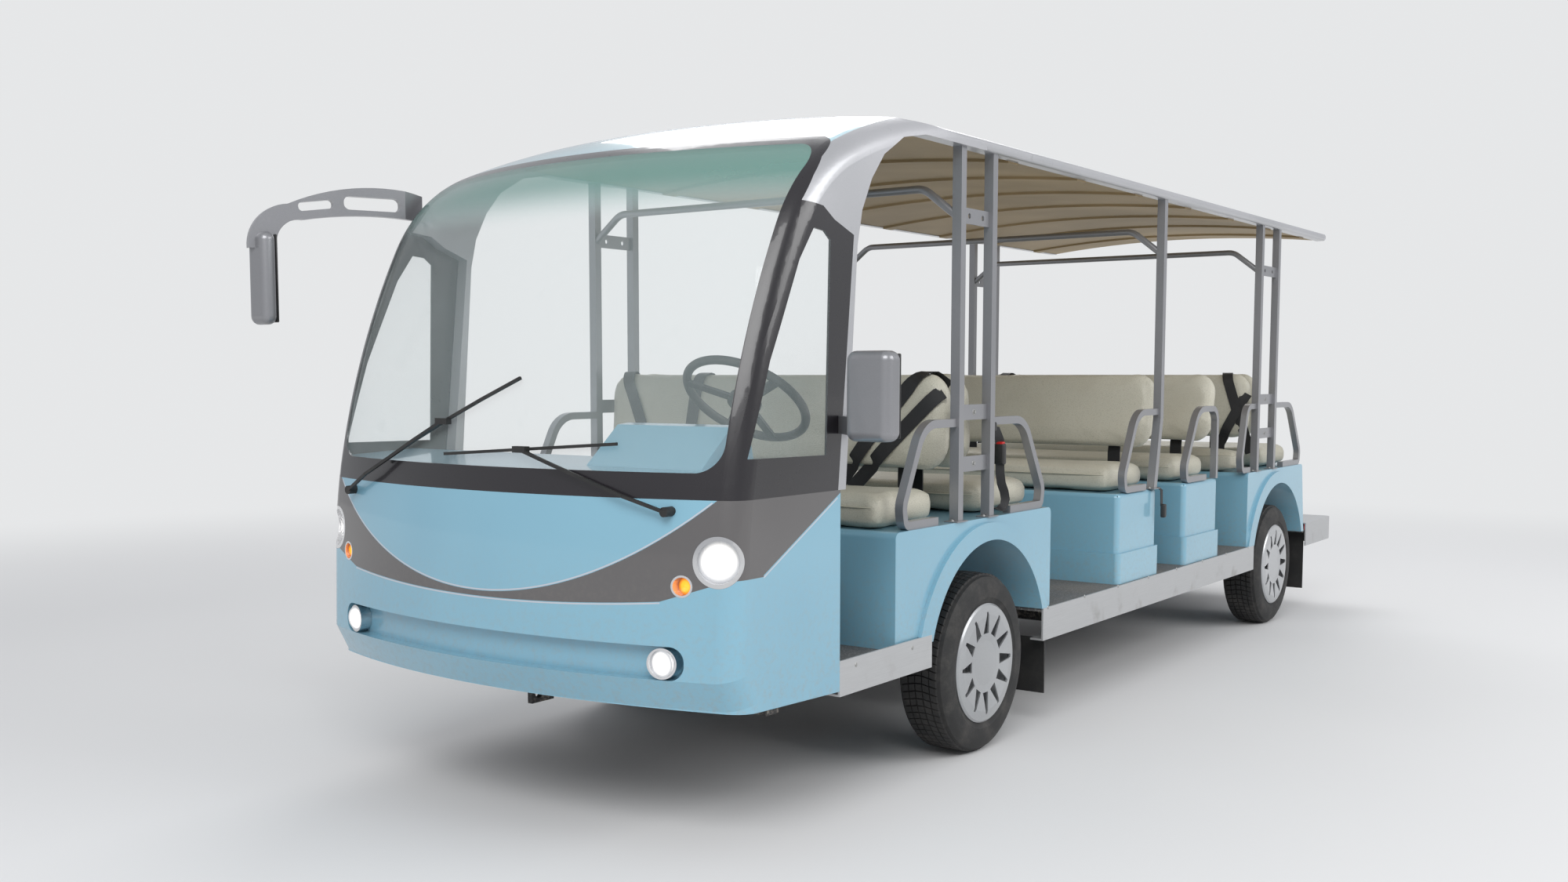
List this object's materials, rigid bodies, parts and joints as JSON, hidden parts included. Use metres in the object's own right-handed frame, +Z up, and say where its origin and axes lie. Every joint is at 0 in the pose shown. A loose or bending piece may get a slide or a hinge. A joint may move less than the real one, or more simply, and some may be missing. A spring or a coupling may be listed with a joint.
{
  "type": "electric sightseeing bus",
  "caption": "Open-sided electric sightseeing bus with a bowed windscreen, back-to-back and forward benches under a crowned roof, steered front wheels and a rear footplate.",
  "frame": {"origin": "on the ground, midway along the overall length and width", "axes": "+X forward along the bus, +Y to its left, +Z up"},
  "size_m": [5.2898, 1.93, 1.9149],
  "materials": {
    "body_blue": "gloss sky-blue paint on moulded panels",
    "corner_grey": "warm dark-grey paint",
    "frame_black": "black painted frame",
    "glass": "clear laminated glass, green band at the top",
    "silver": "silver-grey paint",
    "roof_skin": "pale blue-white gloss",
    "lining_tan": "tan ribbed moulding",
    "sill_grey": "satin aluminium",
    "floor_vinyl": "grey-brown vinyl",
    "seat_leather": "cream leatherette",
    "black_steel": "black chassis paint",
    "motor_grey": "cast housing, grey",
    "battery_black": "black battery cases",
    "wheel_silver": "silver wheel cover and rim",
    "tyre": "black tyre rubber",
    "lamp_clear": "clear lens over a bright bowl",
    "lamp_amber": "amber lens",
    "lamp_red": "red lens",
    "rubber_black": "black rubber"
  },
  "bodies": {
    "body": {"front_bumper": "body_blue", "nose_panel": "body_blue", "seat_box_front": "body_blue", "seat_box_rear": "body_blue", "seat_boxes_middle": "body_blue", "dashboard": "body_blue", "lamp_corner_panels": "corner_grey", "screen_frames": "frame_black", "glazing": "glass", "front_arch": "silver", "roof_edge_rails": "silver", "roof_posts": "silver", "grab_tubes": "silver", "armrest_hoops": "silver", "mirrors": "silver", "roof_panel": "roof_skin", "roof_lining": "lining_tan", "side_sills": "sill_grey", "rear_footplate": "sill_grey", "floor_deck": "floor_vinyl", "seats_front": "seat_leather", "seats_middle": "seat_leather", "seats_rear": "seat_leather", "chassis_frame": "black_steel", "front_axle": "black_steel", "rear_axle": "black_steel", "leaf_springs": "black_steel", "backrest_brackets": "black_steel", "column_and_pedals": "black_steel", "drive_motor": "motor_grey", "battery_pack": "battery_black", "front_lamps": "lamp_clear", "turn_lamps": "lamp_amber", "rear_lamps": "lamp_red", "wipers": "rubber_black", "mudflaps": "rubber_black"},
    "knuckle_left": {"knuckle_left": "black_steel"},
    "knuckle_right": {"knuckle_right": "black_steel"},
    "tie_rod": {"tie_rod": "black_steel"},
    "steering_wheel": {"steering_wheel": "rubber_black"},
    "wheel_front_left": {"wheel_front_left": "wheel_silver", "tyre_front_left": "tyre"},
    "wheel_front_right": {"wheel_front_right": "wheel_silver", "tyre_front_right": "tyre"},
    "wheel_rear_left": {"wheel_rear_left": "wheel_silver", "tyre_rear_left": "tyre"},
    "wheel_rear_right": {"wheel_rear_right": "wheel_silver", "tyre_rear_right": "tyre"}
  },
  "joints": [
    {"name": "steer_left", "type": "hinge", "parent": "body", "child": "knuckle_left", "pos_m": [1.195, 0.565, 0.2805], "axis": [0, 0, 1], "range_deg": [-32, 32]},
    {"name": "steer_right", "type": "hinge", "parent": "body", "child": "knuckle_right", "pos_m": [1.195, -0.565, 0.2805], "axis": [0, 0, 1], "range_deg": [-32, 32]},
    {"name": "tie_rod_left_end", "type": "hinge", "parent": "knuckle_left", "child": "tie_rod", "pos_m": [1.075, 0.565, 0.194], "axis": [0, 0, 1], "range_deg": [-32, 32]},
    {"name": "steering_wheel_turn", "type": "hinge", "parent": "body", "child": "steering_wheel", "pos_m": [2.055, 0.44, 1.105], "axis": [-0.6157, 0, 0.788], "range_deg": [-480, 480]},
    {"name": "front_left_roll", "type": "hinge", "parent": "knuckle_left", "child": "wheel_front_left", "pos_m": [1.195, 0.6465, 0.2805], "axis": [0, 1, 0], "continuous": true},
    {"name": "rear_left_roll", "type": "hinge", "parent": "body", "child": "wheel_rear_left", "pos_m": [-1.745, 0.6465, 0.2805], "axis": [0, 1, 0], "continuous": true},
    {"name": "front_right_roll", "type": "hinge", "parent": "knuckle_right", "child": "wheel_front_right", "pos_m": [1.195, -0.6465, 0.2805], "axis": [0, 1, 0], "continuous": true},
    {"name": "rear_right_roll", "type": "hinge", "parent": "body", "child": "wheel_rear_right", "pos_m": [-1.745, -0.6465, 0.2805], "axis": [0, 1, 0], "continuous": true}
  ],
  "couplings": [
    {"joint": "steer_right", "follows": "steer_left", "ratio": 1},
    {"joint": "tie_rod_left_end", "follows": "steer_left", "ratio": -1},
    {"joint": "steering_wheel_turn", "follows": "steer_left", "ratio": 15}
  ]
}
